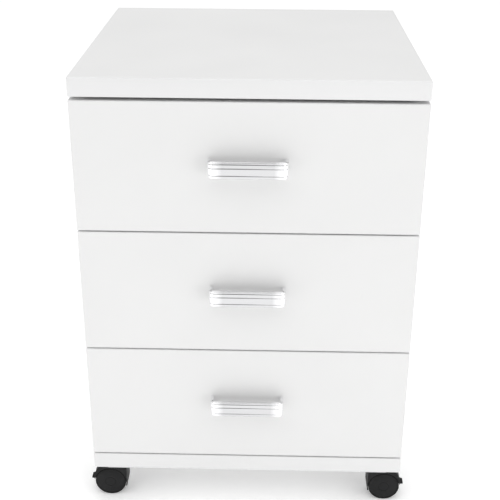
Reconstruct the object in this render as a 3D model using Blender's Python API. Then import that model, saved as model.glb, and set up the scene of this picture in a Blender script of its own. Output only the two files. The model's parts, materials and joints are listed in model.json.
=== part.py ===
"""Rolling pedestal cabinet: a board carcass, three drawers on full-extension slides, and four hooded casters.

Metres, +Z up. The origin is on the floor, under the middle of the whole object. The drawers open towards -Y.
"""

import math

import bmesh
import bpy
import numpy as np
from mathutils import Matrix

# Driving dimensions
WIDTH = 0.400  # top and bottom boards
DEPTH = 0.395
HEIGHT = 0.572
BOARD = 0.022  # thickness of the top and bottom boards
CASTER_HEIGHT = 0.050
GAP = 0.0003  # between pieces that rest on each other

# Carcass
SIDE = 0.015
SIDE_INSET = 0.001  # side panel's outer face, in from the boards' ends
BACK = 0.003
BACK_FROM_REAR = 0.012
GROOVE_PLAY = 0.0006  # a groove's width over the panel that it holds
GROOVE_DEPTH = 0.006
ARRIS = 0.0010  # rounding of the visible edges
ARRIS_STEPS = 2
FINE_ARRIS = 0.0004  # rounding of the inner boards' edges

# Drawers
FRONT = 0.015
FRONT_WIDTH = 0.400
FRONT_GAP = 0.0017
TOP_GAP = 0.0039  # between the upper front and the top board
FRONT_CLEARANCE = 0.001  # behind a closed front
DRAWERS = ("lower", "middle", "upper")
BOX_SIDE = 0.012
BOX_HEIGHT = 0.108
BOX_LENGTH = 0.350
BOX_ABOVE_FRONT = 0.016  # box's lower edge over the front's
BOX_BOTTOM = 0.003
BOX_BOTTOM_RAISE = 0.010  # bottom panel over the box's lower edge
BOX_GROOVE_DEPTH = 0.005

# Ball-bearing slides, seen along Y: channels nested between a side panel and a drawer
SLIDE_SPACE = 0.013
SLIDE_LENGTH = 0.350
SLIDE_SETBACK = 0.002  # behind the side panel's front edge
SLIDE_RAISE = 0.042  # slide's centre line over the box's lower edge
SHEET = 0.0012
SHEET_BEND = 0.0020  # outer radius of a channel's two bends
BEND_STEPS = 3
OUTER_HALF, OUTER_DEPTH = 0.0225, 0.0095
CARRIAGE_HALF, CARRIAGE_DEPTH, CARRIAGE_OFFSET = 0.0190, 0.0076, 0.0032
INNER_HALF, INNER_DEPTH = 0.0152, 0.0072

# Bow handles
HANDLE_PROJECTION = 0.021
HANDLE_WIDTH = 0.092
HANDLE_HEIGHT = 0.0202
HANDLE_FOOT_HEIGHT = 0.016
HANDLE_STRAP = 0.005
HANDLE_CROWN = 0.0012  # how far the strap's face falls back at its two edges
HANDLE_BEND = 0.0045  # radius of the strap's middle line
HANDLE_BEND_STEPS = 8
HANDLE_FACE_POINTS = 7  # across the strap's face
HANDLE_ABOVE_MIDDLE = {"lower": 0.0055, "middle": 0.0023, "upper": 0.0055}  # centre line over the front's

# Casters, seen along Y, with the kingpin at x = 0 and the axle outboard of it
WHEEL_RADIUS = 0.0204
WHEEL_WIDTH = 0.0089
WHEEL_SPREAD = 0.0055  # inner face of each wheel from the middle
WHEEL_SEGMENTS = 36
WHEEL_SHOULDER = ((0.0020, 0.0), (0.0006, 0.0004), (0.0, 0.0016))  # in from the rim and from a face
WHEEL_DISH = (0.0028, 0.0006)  # edge of the outer face's shallow dish, measured the same way
WELL_RADIUS = 0.0210
TRAIL = 0.016
AXLE_RADIUS = 0.0022
AXLE_REACH = 0.0118
BORE_PLAY = 0.0003
HOOD_TOP = 0.0463
HOOD_INBOARD = 0.0217  # hood's two ends from the axle
HOOD_OUTBOARD = 0.0216
HOOD_CORNER = 0.0025
HOOD_HALF_WIDTH = 0.0144
SKIRT_INBOARD = 0.0175  # height of the hood's lower edges
SKIRT_OUTBOARD = 0.0240
SHOULDER_START = 0.008  # where the outboard shoulder's curve begins, from the axle
ARC_STEPS = 8
WEB_HALF = 0.003
WEB_IN_WALL = 0.0004  # how far the web reaches into the shell's wall
WEB_START_DEG, WEB_END_DEG = 14, 197
WEB_FOOT = [(0.0, 0.0140), (0.0050, 0.0148)]  # lower corners, from the axle and above the floor
WEB_PAST_PIVOT = 0.0042
WEB_NOTCH_LOW, WEB_NOTCH_HIGH = 0.0225, 0.0276
HOUSING_HALF = 0.0050  # half of the stem housing's width and of its depth
HOUSING_END = 0.0150
KINGPIN_RADIUS = 0.0032
KINGPIN_END = 0.027
SOCKET_END = 0.024
PLATE = 0.002
PLATE_SIZE = 0.040
PLATE_CORNER = 0.004
PLATE_CORNER_STEPS = 4
COLLAR_RADIUS = 0.009
COLLAR_END = 0.0468
ROUND_SEGMENTS = 18
SMOOTH_BELOW_DEG = 35
CASTER_INSET_X = 0.0342  # kingpin from the bottom board's ends
CASTER_INSET_Y = 0.0225
PIVOT = (0.0100, 0.0270)  # brake lever's pin, from the axle and above the floor
PIVOT_RADIUS = 0.0016
LEVER_HALF_WIDTH = 0.0052
LEVER_BOSS = 0.0034
LEVER_BOSS_START_DEG, LEVER_BOSS_END_DEG = 60, 240
LEVER_SLOT_END = 0.0165
SLOT_CLEARANCE = 0.0005  # between the web and the slot's end
PEDAL_START = 0.0195  # where the lever's underside meets the pedal's
PEDAL_TIP = 0.0265
PEDAL_LOW, PEDAL_HIGH = 0.0184, 0.0210
PEDAL_NECK = (0.0205, 0.0226)  # where the lever's upper side meets the pedal's

# Places worked out from the sizes
FRONT_Y = -(DEPTH + HANDLE_PROJECTION) / 2 + HANDLE_PROJECTION
REAR_Y = FRONT_Y + DEPTH
FLOOR_OF_CARCASS = CASTER_HEIGHT + BOARD
CEILING = HEIGHT - BOARD
SIDE_OUT = WIDTH / 2 - SIDE_INSET
SIDE_IN = SIDE_OUT - SIDE
PANEL_FRONT = FRONT_Y + FRONT + FRONT_CLEARANCE
FRONT_PITCH = (CEILING - TOP_GAP - FLOOR_OF_CARCASS) / len(DRAWERS)
FRONT_HEIGHT = FRONT_PITCH - FRONT_GAP
BOX_OUT = SIDE_IN - SLIDE_SPACE
BOX_IN = BOX_OUT - BOX_SIDE


def clear_scene():
    for item in list(bpy.data.objects):
        bpy.data.objects.remove(item)


def finish(name, colour, roughness, metallic=0.0):
    """A material of one Principled BSDF."""
    made = bpy.data.materials.new(name)
    made.use_nodes = True
    shader = made.node_tree.nodes["Principled BSDF"]
    shader.inputs["Base Color"].default_value = (*colour, 1.0)
    shader.inputs["Roughness"].default_value = roughness
    shader.inputs["Metallic"].default_value = metallic
    return made


def group(name, parent=None, location=(0, 0, 0), turn=0.0):
    """An empty that carries a sub-assembly."""
    empty = bpy.data.objects.new(name, None)
    bpy.context.collection.objects.link(empty)
    empty.location = location
    empty.rotation_euler = (0, 0, turn)
    empty.parent = parent
    return empty


def place(name, mesh, material, parent, location=(0, 0, 0), turn=0.0):
    """One named piece. Pieces of one kind share their mesh."""
    piece = bpy.data.objects.new(name, mesh)
    bpy.context.collection.objects.link(piece)
    piece.location = location
    piece.rotation_euler = (0, 0, turn)
    piece.parent = parent
    if not mesh.materials:
        mesh.materials.append(material)
    return piece


def mesh_from(name, bm):
    """Mesh of a closed bmesh, with its faces pointing out."""
    bmesh.ops.recalc_face_normals(bm, faces=bm.faces)
    mesh = bpy.data.meshes.new(name)
    bm.to_mesh(mesh)
    bm.free()
    return mesh


def shade_round(mesh):
    mesh.shade_smooth()
    mesh.set_sharp_from_angle(angle=math.radians(SMOOTH_BELOW_DEG))
    return mesh


def block(name, low, high, arris=0.0, steps=1):
    """A box between two corners, with its edges rounded."""
    bm = bmesh.new()
    size = [b - a for a, b in zip(low, high)]
    middle = [(a + b) / 2 for a, b in zip(low, high)]
    bmesh.ops.create_cube(bm, matrix=Matrix.Translation(middle) @ Matrix.Diagonal((*size, 1)))
    if arris:
        bmesh.ops.bevel(bm, geom=bm.edges[:], offset=arris, segments=steps, profile=0.5, affect="EDGES")
    return mesh_from(name, bm)


def extruded(name, outline, start, end):
    """An outline of (x, z) points carried along Y."""
    bm = bmesh.new()
    face = bm.faces.new([bm.verts.new((x, start, z)) for x, z in outline])
    moved = bmesh.ops.extrude_face_region(bm, geom=[face])["geom"]
    corners = [item for item in moved if isinstance(item, bmesh.types.BMVert)]
    bmesh.ops.translate(bm, verts=corners, vec=(0, end - start, 0))
    return mesh_from(name, bm)


def rod(name, radius, start, end, axis="Z", segments=ROUND_SEGMENTS, centre=(0, 0)):
    """A cylinder along Z with its centre at (x, y), or along Y with its centre at (x, z)."""
    bm = bmesh.new()
    if axis == "Z":
        matrix = Matrix.Translation((*centre, (start + end) / 2))
    else:
        turned = Matrix.Rotation(math.pi / 2, 4, "X")
        matrix = Matrix.Translation((centre[0], (start + end) / 2, centre[1])) @ turned
    bmesh.ops.create_cone(
        bm, cap_ends=True, segments=segments, radius1=radius, radius2=radius,
        depth=end - start, matrix=matrix,
    )
    return mesh_from(name, bm)


def combined(name, base, joined=(), cut=()):
    """The base with some meshes joined to it, and then others cut from it."""
    work = bpy.data.objects.new(name, base)
    helpers = [work]
    for operation, meshes in (("UNION", joined), ("DIFFERENCE", cut)):
        for mesh in meshes:
            helper = bpy.data.objects.new(mesh.name, mesh)
            helpers.append(helper)
            modifier = work.modifiers.new(mesh.name, "BOOLEAN")
            modifier.operation = operation
            modifier.object = helper
    for helper in helpers:
        bpy.context.collection.objects.link(helper)
    graph = bpy.context.evaluated_depsgraph_get()
    result = bpy.data.meshes.new_from_object(work.evaluated_get(graph))
    result.name = name
    for helper in helpers:
        bpy.data.objects.remove(helper)
    return result


def arc(centre, radii, start_deg, end_deg, steps):
    """Points of an ellipse's arc, from one angle to the other."""
    angles = np.radians(np.linspace(start_deg, end_deg, steps + 1))
    return [(centre[0] + radii[0] * math.cos(a), centre[1] + radii[1] * math.sin(a)) for a in angles]


def build_carcass(root, board, hardboard):
    """Top and bottom boards, side panels grooved for the back panel, and the back panel."""
    half = WIDTH / 2
    for name, low in (("bottom_panel", CASTER_HEIGHT), ("top_panel", CEILING)):
        mesh = block(name, (-half, FRONT_Y, low), (half, REAR_Y, low + BOARD), ARRIS, ARRIS_STEPS)
        place(name, mesh, board, root)
    low, high = FLOOR_OF_CARCASS + GAP, CEILING - GAP
    back_rear = REAR_Y - BACK_FROM_REAR
    for name, hand in (("side_panel_left", -1), ("side_panel_right", 1)):
        near, far = sorted((hand * SIDE_IN, hand * SIDE_OUT))
        panel = block(name, (near, PANEL_FRONT, low), (far, REAR_Y, high), FINE_ARRIS)
        groove_x = sorted((hand * (SIDE_IN - SIDE), hand * (SIDE_IN + GROOVE_DEPTH)))
        groove_y = (back_rear - BACK - GROOVE_PLAY / 2, back_rear + GROOVE_PLAY / 2)
        groove = block("groove", (groove_x[0], groove_y[0], 0), (groove_x[1], groove_y[1], HEIGHT))
        place(name, combined(name, panel, cut=[groove]), board, root)
    reach = SIDE_IN + GROOVE_DEPTH - GROOVE_PLAY
    back = block("back_panel", (-reach, back_rear - BACK, low), (reach, back_rear, high))
    place("back_panel", back, hardboard, root)


def channel(name, half, depth, opens, web_x):
    """A C-shaped slide member. Its web starts at web_x and it opens towards +X or -X."""
    centre = (SHEET_BEND, half - SHEET_BEND)
    upper_out = [(depth, half)] + arc(centre, (SHEET_BEND,) * 2, 90, 180, BEND_STEPS)
    upper_in = [(depth, half - SHEET)] + arc(centre, (SHEET_BEND - SHEET,) * 2, 90, 180, BEND_STEPS)
    outer = upper_out + [(x, -z) for x, z in reversed(upper_out)]
    inner = upper_in + [(x, -z) for x, z in reversed(upper_in)]
    outline = [(web_x + opens * x, z) for x, z in outer + inner[::-1]]
    start = PANEL_FRONT + SLIDE_SETBACK
    return extruded(name, outline, start, start + SLIDE_LENGTH)


def build_slides(drawer, level, root, drawer_group, steel):
    """A pair of three-member slides: outer on the carcass, carriage between, and inner on the drawer."""
    for side, hand in (("left", -1), ("right", 1)):
        outer_x = hand * (SIDE_IN - GAP)
        carriage_x = hand * (SIDE_IN - CARRIAGE_OFFSET)
        inner_x = hand * (BOX_OUT + GAP)
        outer = channel(f"{drawer}_slide_outer", OUTER_HALF, OUTER_DEPTH, -hand, outer_x)
        carriage = channel(f"{drawer}_slide_carriage", CARRIAGE_HALF, CARRIAGE_DEPTH, -hand, carriage_x)
        inner = channel(f"{drawer}_slide_inner", INNER_HALF, INNER_DEPTH, hand, inner_x)
        place(f"{drawer}_slide_outer_{side}", outer, steel, root, (0, 0, level))
        place(f"{drawer}_slide_carriage_{side}", carriage, steel, root, (0, 0, level))
        raised = level - drawer_group.location.z
        place(f"{drawer}_slide_inner_{side}", inner, steel, drawer_group, (0, 0, raised))


def handle_path():
    """Middle line of the strap in plan, its outward normals, and how far each point is round a bend."""
    side = (HANDLE_WIDTH - HANDLE_STRAP) / 2
    reach = HANDLE_PROJECTION - HANDLE_STRAP / 2
    angles = np.linspace(0, math.pi / 2, HANDLE_BEND_STEPS + 1)
    x = side - HANDLE_BEND + HANDLE_BEND * np.sin(angles)
    y = -(reach - HANDLE_BEND + HANDLE_BEND * np.cos(angles))
    bend = [(a, b, math.sin(t), -math.cos(t), t) for a, b, t in zip(x, y, angles)]
    leg = [(side, -GAP, 1.0, 0.0, math.pi / 2)]
    right = bend + leg
    left = [(-a, b, -nx, ny, t) for a, b, nx, ny, t in reversed(right)]
    return left + right


def handle_mesh():
    """A crowned strap carried along its path, narrowing round each bend to the foot."""
    across = np.linspace(-1, 1, HANDLE_FACE_POINTS)
    face = [(v, HANDLE_STRAP / 2 - HANDLE_CROWN * v * v) for v in across]
    section = face + [(1.0, -HANDLE_STRAP / 2), (-1.0, -HANDLE_STRAP / 2)]
    narrowing = HANDLE_HEIGHT - HANDLE_FOOT_HEIGHT
    bm = bmesh.new()
    rings = []
    for x, y, normal_x, normal_y, turned in handle_path():
        half = (HANDLE_HEIGHT - narrowing * (1 - math.cos(turned))) / 2
        ring = [bm.verts.new((x + normal_x * w, y + normal_y * w, half * v)) for v, w in section]
        rings.append(ring)
    for one, two in zip(rings, rings[1:]):
        for i in range(len(section)):
            j = (i + 1) % len(section)
            bm.faces.new((one[i], one[j], two[j], two[i]))
    bm.faces.new(rings[0])
    bm.faces.new(rings[-1])
    return shade_round(mesh_from("bow_handle", bm))


def build_drawer(drawer, bottom_z, root, materials, handle):
    """Front, box and handle of one drawer, in a group at the front's lower edge."""
    board, hardboard, steel, chrome = materials
    moving = group(f"{drawer}_drawer", root, (0, 0, bottom_z))
    start = FRONT_Y + FRONT + GAP
    end = start + BOX_LENGTH
    box_top = BOX_ABOVE_FRONT + BOX_HEIGHT
    panel_low = BOX_ABOVE_FRONT + BOX_BOTTOM_RAISE
    panel_high = panel_low + BOX_BOTTOM
    groove_z = (panel_low - GROOVE_PLAY / 2, panel_high + GROOVE_PLAY / 2)
    reach = BOX_IN + BOX_GROOVE_DEPTH

    half = FRONT_WIDTH / 2
    front_high = (half, FRONT_Y + FRONT, FRONT_HEIGHT)
    front = block("front", (-half, FRONT_Y, 0), front_high, ARRIS, ARRIS_STEPS)
    groove_start = FRONT_Y + FRONT - BOX_GROOVE_DEPTH
    groove = block("groove", (-reach, groove_start, groove_z[0]), (reach, end, groove_z[1]))
    name = f"{drawer}_drawer_front"
    place(name, combined(name, front, cut=[groove]), board, moving)

    for side, hand in (("left", -1), ("right", 1)):
        name = f"{drawer}_drawer_side_{side}"
        near, far = sorted((hand * BOX_IN, hand * BOX_OUT))
        side_board = block(name, (near, start, BOX_ABOVE_FRONT), (far, end, box_top), FINE_ARRIS)
        near, far = sorted((0, hand * reach))
        groove = block("groove", (near, FRONT_Y, groove_z[0]), (far, REAR_Y, groove_z[1]))
        place(name, combined(name, side_board, cut=[groove]), board, moving)

    inside = BOX_IN - GAP
    back_low = groove_z[1] + GAP
    back = block("back", (-inside, end - BOX_SIDE, back_low), (inside, end, box_top), FINE_ARRIS)
    place(f"{drawer}_drawer_back", back, board, moving)
    held = reach - GROOVE_PLAY
    bottom = block("bottom", (-held, groove_start + GROOVE_PLAY, panel_low), (held, end, panel_high))
    place(f"{drawer}_drawer_bottom", bottom, hardboard, moving)

    height = FRONT_HEIGHT / 2 + HANDLE_ABOVE_MIDDLE[drawer]
    place(f"{drawer}_handle", handle, chrome, moving, (0, FRONT_Y, height))
    build_slides(drawer, bottom_z + BOX_ABOVE_FRONT + SLIDE_RAISE, root, moving, steel)


def wheel_mesh():
    """A solid nylon wheel turned about Y, with a blind bore from its inner face at y = 0."""
    rim, width = WHEEL_RADIUS, WHEEL_WIDTH
    bore = AXLE_RADIUS + BORE_PLAY
    bore_end = AXLE_REACH - WHEEL_SPREAD + BORE_PLAY
    profile = [(bore, bore_end), (bore, 0.0)]
    profile += [(rim - inward, y) for inward, y in WHEEL_SHOULDER]
    profile += [(rim - inward, width - y) for inward, y in (*reversed(WHEEL_SHOULDER), WHEEL_DISH)]
    angles = np.linspace(0, 2 * math.pi, WHEEL_SEGMENTS, endpoint=False)
    bm = bmesh.new()
    rings = [[bm.verts.new((r * math.cos(a), y, r * math.sin(a))) for a in angles] for r, y in profile]
    for one, two in zip(rings, rings[1:]):
        for i in range(WHEEL_SEGMENTS):
            j = (i + 1) % WHEEL_SEGMENTS
            bm.faces.new((one[i], one[j], two[j], two[i]))
    bm.faces.new(rings[0])
    bm.faces.new(rings[-1])
    return shade_round(mesh_from("twin_wheel", bm))


def shell_outline():
    """The hood's shell along Y, as (x, z) from the axle and the floor: a flat top and a round well."""
    shoulder = (HOOD_OUTBOARD - SHOULDER_START, HOOD_TOP - SKIRT_OUTBOARD)
    corner = (-HOOD_INBOARD + HOOD_CORNER, HOOD_TOP - HOOD_CORNER)
    outline = [(-HOOD_INBOARD, SKIRT_INBOARD)]
    outline += arc(corner, (HOOD_CORNER,) * 2, 180, 90, BEND_STEPS)
    outline += arc((SHOULDER_START, SKIRT_OUTBOARD), shoulder, 90, 0, ARC_STEPS)
    skirts = (SKIRT_OUTBOARD, SKIRT_INBOARD)
    first, last = (math.degrees(math.asin((z - WHEEL_RADIUS) / WELL_RADIUS)) for z in skirts)
    outline += arc((0, WHEEL_RADIUS), (WELL_RADIUS,) * 2, first, 180 - last, 3 * ARC_STEPS)
    return outline


def web_outline(braked):
    """The web between the wheels, which ends inside the shell's wall and leaves room for the lever."""
    reach = WELL_RADIUS + WEB_IN_WALL
    outline = arc((0, WHEEL_RADIUS), (reach, reach), WEB_START_DEG, WEB_END_DEG, 3 * ARC_STEPS) + WEB_FOOT
    if braked:
        web_end = PIVOT[0] + WEB_PAST_PIVOT
        notch_end = LEVER_SLOT_END - SLOT_CLEARANCE
        outline += [(web_end, WEB_NOTCH_LOW), (web_end, WEB_NOTCH_HIGH), (notch_end, WEB_NOTCH_HIGH)]
    return outline


def hood_mesh(braked):
    """Hood with its web, the axle pin, the housing of the kingpin and, if braked, the lever's pin."""
    name = "braked_hood" if braked else "hood"
    outlines = (shell_outline(), web_outline(braked))
    shell, web = ([(TRAIL + x, z) for x, z in outline] for outline in outlines)
    body = extruded(name, shell, -HOOD_HALF_WIDTH, HOOD_HALF_WIDTH)
    housing_low = (-HOUSING_HALF, -HOUSING_HALF, HOUSING_END)
    housing_high = (HOUSING_HALF, HOUSING_HALF, HOOD_TOP - HOOD_CORNER)
    joined = [
        extruded("web", web, -WEB_HALF, WEB_HALF),
        block("housing", housing_low, housing_high),
        rod("axle", AXLE_RADIUS, -AXLE_REACH, AXLE_REACH, "Y", centre=(TRAIL, WHEEL_RADIUS)),
    ]
    if braked:
        pin_at = (TRAIL + PIVOT[0], PIVOT[1])
        pin_end = LEVER_HALF_WIDTH
        joined.append(rod("pivot_pin", PIVOT_RADIUS, -pin_end, pin_end, "Y", centre=pin_at))
    socket = rod("socket", KINGPIN_RADIUS + BORE_PLAY, SOCKET_END, HEIGHT)
    return shade_round(combined(name, body, joined, [socket]))


def plate_mesh():
    """Mounting plate with the swivel's collar and the kingpin below it, about the kingpin's axis."""
    top = CASTER_HEIGHT - GAP
    bm = bmesh.new()
    middle = Matrix.Translation((0, 0, top - PLATE / 2))
    bmesh.ops.create_cube(bm, matrix=middle @ Matrix.Diagonal((PLATE_SIZE, PLATE_SIZE, PLATE, 1)))
    corners = [edge for edge in bm.edges if abs(edge.verts[0].co.z - edge.verts[1].co.z) > PLATE / 2]
    steps = PLATE_CORNER_STEPS
    bmesh.ops.bevel(bm, geom=corners, offset=PLATE_CORNER, segments=steps, profile=0.5, affect="EDGES")
    plate = mesh_from("plate", bm)
    collar = rod("collar", COLLAR_RADIUS, COLLAR_END, top - PLATE / 2)
    kingpin = rod("kingpin", KINGPIN_RADIUS, KINGPIN_END, top - PLATE / 2)
    return combined("caster_plate", plate, [collar, kingpin])


def lever_mesh():
    """Brake lever about its pin: two cheeks beside the hood's web, joined in a flat pedal."""
    pin_x, pin_z = PIVOT
    boss = arc((0, 0), (LEVER_BOSS,) * 2, LEVER_BOSS_START_DEG, LEVER_BOSS_END_DEG, ARC_STEPS)
    reach = [(PEDAL_START, PEDAL_LOW), (PEDAL_TIP, PEDAL_LOW), (PEDAL_TIP, PEDAL_HIGH), PEDAL_NECK]
    outline = boss + [(x - pin_x, z - pin_z) for x, z in reach]
    body = extruded("lever", outline, -LEVER_HALF_WIDTH, LEVER_HALF_WIDTH)
    slot_half = WEB_HALF + GAP
    beyond = WHEEL_RADIUS
    slot_end = (LEVER_SLOT_END - pin_x, slot_half, beyond)
    slot = block("slot", (-beyond, -slot_half, -beyond), slot_end)
    hole = rod("hole", PIVOT_RADIUS + BORE_PLAY, -beyond, beyond, "Y")
    return combined("brake_lever", body, cut=[slot, hole])


def build_casters(root, nylon, steel):
    """Four casters with their axles outboard of the kingpins. The front pair is braked."""
    plate, wheel, lever = plate_mesh(), wheel_mesh(), lever_mesh()
    hoods = {braked: hood_mesh(braked) for braked in (True, False)}
    for end, along in (("front", -1), ("rear", 1)):
        for side, hand in (("left", -1), ("right", 1)):
            name = f"{end}_{side}"
            braked = end == "front"
            at_y = FRONT_Y + CASTER_INSET_Y if braked else REAR_Y - CASTER_INSET_Y
            kingpin = (hand * (WIDTH / 2 - CASTER_INSET_X), at_y, 0)
            place(f"{name}_caster_plate", plate, steel, root, kingpin)
            swivel = group(f"{name}_swivel", root, kingpin, 0.0 if hand > 0 else math.pi)
            hood = place(f"{name}_caster_hood", hoods[braked], nylon, swivel)
            for half, across in (("front", -hand), ("rear", hand)):
                axle = (TRAIL, across * WHEEL_SPREAD, WHEEL_RADIUS)
                turn = 0.0 if across > 0 else math.pi
                place(f"{name}_wheel_{half}", wheel, nylon, hood, axle, turn)
            if braked:
                place(f"{name}_brake_lever", lever, nylon, hood, (TRAIL + PIVOT[0], 0, PIVOT[1]))


def main():
    clear_scene()
    board = finish("white_board", (0.84, 0.84, 0.84), 0.45)
    hardboard = finish("white_hardboard", (0.80, 0.80, 0.79), 0.55)
    steel = finish("zinc_steel", (0.62, 0.63, 0.64), 0.35, 1.0)
    chrome = finish("chrome", (0.80, 0.80, 0.81), 0.12, 1.0)
    nylon = finish("black_nylon", (0.03, 0.03, 0.03), 0.5)
    root = group("cabinet")
    build_carcass(root, board, hardboard)
    handle = handle_mesh()
    for step, drawer in enumerate(DRAWERS):
        bottom_z = FLOOR_OF_CARCASS + FRONT_GAP + step * FRONT_PITCH
        build_drawer(drawer, bottom_z, root, (board, hardboard, steel, chrome), handle)
    build_casters(root, nylon, steel)


main()
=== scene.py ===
"""Looks of a rolling pedestal cabinet: white boards, ribbed chrome handles, zinc slides and black casters.

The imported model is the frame. It is loaded first and says where every piece goes, in metres, with +Z up and
the drawers opening towards -Y. The classes below make the visible surfaces and finishes around it.
"""

from __future__ import annotations

import json
import logging
import math
from dataclasses import dataclass, field
from enum import Enum
from typing import Any, Iterable, Sequence

import bmesh
import bpy
import numpy as np
from mathutils import Matrix, Vector

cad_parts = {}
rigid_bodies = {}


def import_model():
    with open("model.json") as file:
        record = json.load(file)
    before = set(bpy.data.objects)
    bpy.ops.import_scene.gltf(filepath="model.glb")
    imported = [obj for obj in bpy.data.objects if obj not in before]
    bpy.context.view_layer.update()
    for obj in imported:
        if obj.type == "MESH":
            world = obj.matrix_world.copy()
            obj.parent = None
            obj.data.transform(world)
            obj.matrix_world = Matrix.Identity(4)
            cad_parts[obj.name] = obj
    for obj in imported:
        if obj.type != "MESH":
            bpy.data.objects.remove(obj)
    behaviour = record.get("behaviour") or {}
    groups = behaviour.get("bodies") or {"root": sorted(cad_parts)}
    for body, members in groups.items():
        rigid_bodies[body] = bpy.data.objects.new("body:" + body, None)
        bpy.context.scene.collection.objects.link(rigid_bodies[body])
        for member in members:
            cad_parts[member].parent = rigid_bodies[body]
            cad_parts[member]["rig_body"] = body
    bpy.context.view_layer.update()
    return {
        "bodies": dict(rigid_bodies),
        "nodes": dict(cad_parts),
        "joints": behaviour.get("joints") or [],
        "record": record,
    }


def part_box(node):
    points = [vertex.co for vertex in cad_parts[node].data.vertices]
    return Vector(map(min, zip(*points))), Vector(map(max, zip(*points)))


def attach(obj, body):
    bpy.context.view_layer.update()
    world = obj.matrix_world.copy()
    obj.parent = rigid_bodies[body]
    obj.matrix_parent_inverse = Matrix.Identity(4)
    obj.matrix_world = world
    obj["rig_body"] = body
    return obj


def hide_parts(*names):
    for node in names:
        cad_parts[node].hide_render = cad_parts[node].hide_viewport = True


LOG = logging.getLogger("pedestal")
MERGE = 2e-6  # points closer than this are one
SMOOTH_BELOW = math.radians(38)  # edges that turn more than this stay sharp
MITRE = 0.5  # least cosine of half a corner's turn that an inset follows
SHEET = 0.0012  # the slides' steel
DRAWERS = ("lower", "middle", "upper")
HANDS = {"left": -1, "right": 1}


class Slot(Enum):
    """The record's material slots."""

    BOARD = "white_board"
    HARDBOARD = "white_hardboard"
    ZINC = "zinc_steel"
    CHROME = "chrome"
    NYLON = "black_nylon"


class Axis(Enum):
    """The world axes that the first, second and third coordinates of a shape lie along."""

    X = (1, 2, 0)
    Y = (0, 2, 1)
    Z = (0, 1, 2)

    def lay(self, points: np.ndarray) -> np.ndarray:
        """Turns a shape's points into world points.

        Args:
            points: Points with the shape's three coordinates in the last dimension.

        Returns:
            The same points with the world's coordinates.
        """
        laid = np.empty_like(points)
        laid[..., list(self.value)] = points
        return laid


# ----------------------------------------------------------------------------------------------------------
# Surfaces


@dataclass
class Form:
    """Closed surfaces gathered into one mesh.

    Attributes:
        points: One array of points per surface.
        faces: Faces, as indices into all the points together.
        finishes: The material index of each face.
        grooves: For each surface, how deep in a groove each point lies, from 0 to 1.
    """

    points: list[np.ndarray] = field(default_factory=list)
    faces: list[list[int]] = field(default_factory=list)
    finishes: list[int] = field(default_factory=list)
    grooves: list[np.ndarray] = field(default_factory=list)

    def stack(
        self, rings: np.ndarray, finishes: Sequence[int] | None = None, grooves: np.ndarray | None = None
    ) -> Form:
        """Adds a surface through rings of equal length, with a face over each end.

        Args:
            rings: Points of shape (rings, points round a ring, 3).
            finishes: The material index of each strip between two rings, 0 if left out.
            grooves: How deep in a groove each point lies.

        Returns:
            This form.
        """
        first = sum(len(points) for points in self.points)
        index = np.arange(rings.shape[0] * rings.shape[1]).reshape(rings.shape[:2]) + first
        here, ahead = index[:-1], index[1:]
        quads = np.stack([here, np.roll(here, -1, axis=1), np.roll(ahead, -1, axis=1), ahead], axis=-1)
        self.faces += quads.reshape(-1, 4).tolist() + [index[0, ::-1].tolist(), index[-1].tolist()]
        strips = np.zeros(len(here), int) if finishes is None else np.asarray(finishes)
        self.finishes += np.repeat(strips, rings.shape[1]).tolist() + [0, 0]
        self.points.append(rings.reshape(-1, 3))
        self.grooves.append(np.zeros(index.size) if grooves is None else grooves.reshape(-1))
        return self

    def moved(self, offset: Sequence[float], turn: float = 0.0) -> Form:
        """Makes a copy that is turned about +Z and then shifted.

        Args:
            offset: The shift.
            turn: The angle in radians.

        Returns:
            The copy.
        """
        spin = np.array(Matrix.Rotation(turn, 3, "Z"))
        placed = [points @ spin.T + np.array(offset) for points in self.points]
        return Form(placed, self.faces, self.finishes, self.grooves)

    def mesh(self, name: str) -> bpy.types.Mesh:
        """Makes the form a mesh: doubles merged, faces pointing out, and sharp only where it turns sharply.

        Args:
            name: The mesh's name.

        Returns:
            The mesh.
        """
        mesh = bpy.data.meshes.new(name)
        mesh.from_pydata(np.concatenate(self.points).tolist(), [], self.faces)
        mesh.polygons.foreach_set("material_index", self.finishes)
        depths = np.concatenate(self.grooves)
        if depths.any():
            layer = mesh.attributes.new("groove", "FLOAT", "POINT")
            layer.data.foreach_set("value", depths.astype(np.float32))
        bm = bmesh.new()
        bm.from_mesh(mesh)
        bmesh.ops.remove_doubles(bm, verts=bm.verts, dist=MERGE)
        bmesh.ops.recalc_face_normals(bm, faces=bm.faces)
        bm.to_mesh(mesh)
        bm.free()
        mesh.shade_smooth()
        mesh.set_sharp_from_angle(angle=SMOOTH_BELOW)
        return mesh


def arc(centre: Sequence[float], radii: Sequence[float], start: float, end: float, steps: int) -> np.ndarray:
    """Points on an ellipse's arc: centre + radii * (cos, sin) of angles from start to end, in degrees.

    Args:
        centre: The ellipse's centre.
        radii: Its two half axes.
        start: First angle.
        end: Last angle.
        steps: Number of equal steps.

    Returns:
        An array of shape (steps + 1, 2).
    """
    angles = np.radians(np.linspace(start, end, steps + 1))
    return np.array(centre) + np.array(radii) * np.stack([np.cos(angles), np.sin(angles)], axis=1)


def corners(steps: int) -> tuple[np.ndarray, np.ndarray]:
    """The corners of a rectangle with a quarter turn round each, anticlockwise from the one at (+, +).

    Args:
        steps: Steps in each quarter turn.

    Returns:
        The signs of each point's corner, and each point's angle in radians.
    """
    signs = np.repeat(np.array([(1, 1), (-1, 1), (-1, -1), (1, -1)]), steps + 1, axis=0)
    quarter = np.linspace(0, math.pi / 2, steps + 1)
    return signs, np.concatenate([quarter + side * math.pi / 2 for side in range(4)])


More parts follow.
